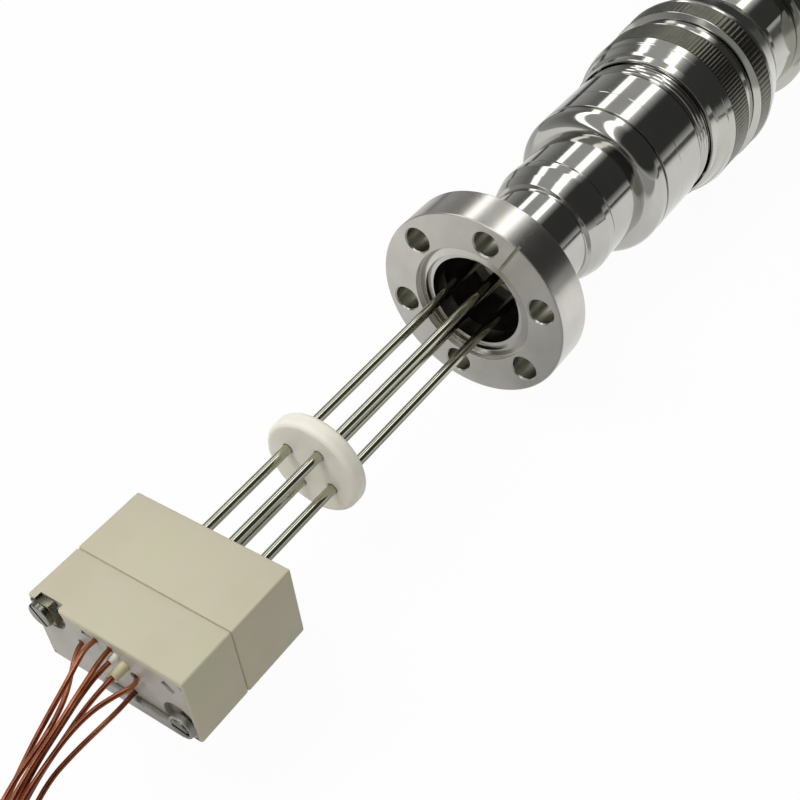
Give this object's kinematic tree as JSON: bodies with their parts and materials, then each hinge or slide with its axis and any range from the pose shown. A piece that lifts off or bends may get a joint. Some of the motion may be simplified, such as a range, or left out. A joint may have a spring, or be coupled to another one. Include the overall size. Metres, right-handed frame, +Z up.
{
  "type": "vacuum feedthrough",
  "caption": "Electrical vacuum feedthrough: knife-edge flange, welded receptacle with screwed plug, and conductor rods to a wired connector block on the vacuum side.",
  "frame": {"origin": "centre of the flange's sealing face", "axes": "+X along the axis towards the air side and the plug, +Z up, the connector block's broad face level"},
  "size_m": [0.2273, 0.034, 0.0347],
  "materials": {
    "flange_steel": "turned",
    "polished_steel": "mirror polished",
    "header_alloy": "satin",
    "alumina": "unglazed ceramic",
    "conductor_metal": "drawn",
    "peek": "machined",
    "plate_plastic": "machined",
    "bar_metal": "machined",
    "screw_steel": "turned",
    "terminal_brass": "machined",
    "lead_copper": "drawn wire",
    "insert_plastic": "moulded",
    "plug_steel": "turned",
    "contact_gold": "plated",
    "seal_rubber": "moulded"
  },
  "bodies": {
    "feedthrough": {"cf_flange": "flange_steel", "weld_adapter": "polished_steel", "receptacle_shell": "polished_steel", "header_sleeve": "header_alloy", "braze_collar_1": "header_alloy", "braze_collar_2": "header_alloy", "braze_collar_3": "header_alloy", "braze_collar_4": "header_alloy", "header_ceramic": "alumina", "spacer_disc": "alumina", "white_ferrule": "alumina", "conductor_1": "conductor_metal", "conductor_2": "conductor_metal", "conductor_3": "conductor_metal", "conductor_4": "conductor_metal", "rear_housing": "peek", "front_housing": "peek", "beige_ferrule": "peek", "end_plate": "plate_plastic", "clamp_bar": "bar_metal", "housing_screws": "screw_steel", "terminal_1": "terminal_brass", "terminal_2": "terminal_brass", "terminal_3": "terminal_brass", "terminal_4": "terminal_brass", "lead_1": "lead_copper", "lead_2": "lead_copper", "lead_3": "lead_copper", "lead_4": "lead_copper", "lead_5": "lead_copper", "lead_6": "lead_copper", "lead_7": "lead_copper", "pin_insert": "insert_plastic"},
    "plug": {"face_seal": "seal_rubber", "plug_shell": "plug_steel", "plug_insert": "insert_plastic", "socket_contact_1": "contact_gold", "socket_contact_2": "contact_gold", "socket_contact_3": "contact_gold", "socket_contact_4": "contact_gold", "retaining_ring": "screw_steel", "backshell": "polished_steel", "gland_seal": "seal_rubber", "gland_washer": "screw_steel", "gland_nut": "polished_steel"},
    "nut": {"coupling_nut": "polished_steel"}
  },
  "joints": [
    {"name": "plug_slide", "type": "slide", "parent": "feedthrough", "child": "plug", "axis": [1, 0, 0], "range_m": [0, 0.006]},
    {"name": "nut_turn", "type": "hinge", "parent": "plug", "child": "nut", "pos_m": [0.0663, 0, 0], "axis": [1, 0, 0], "range_deg": [0, 2161]}
  ],
  "couplings": [
    {"joint": "nut_turn", "follows": "plug_slide", "rad_per_m": 6283.2}
  ]
}
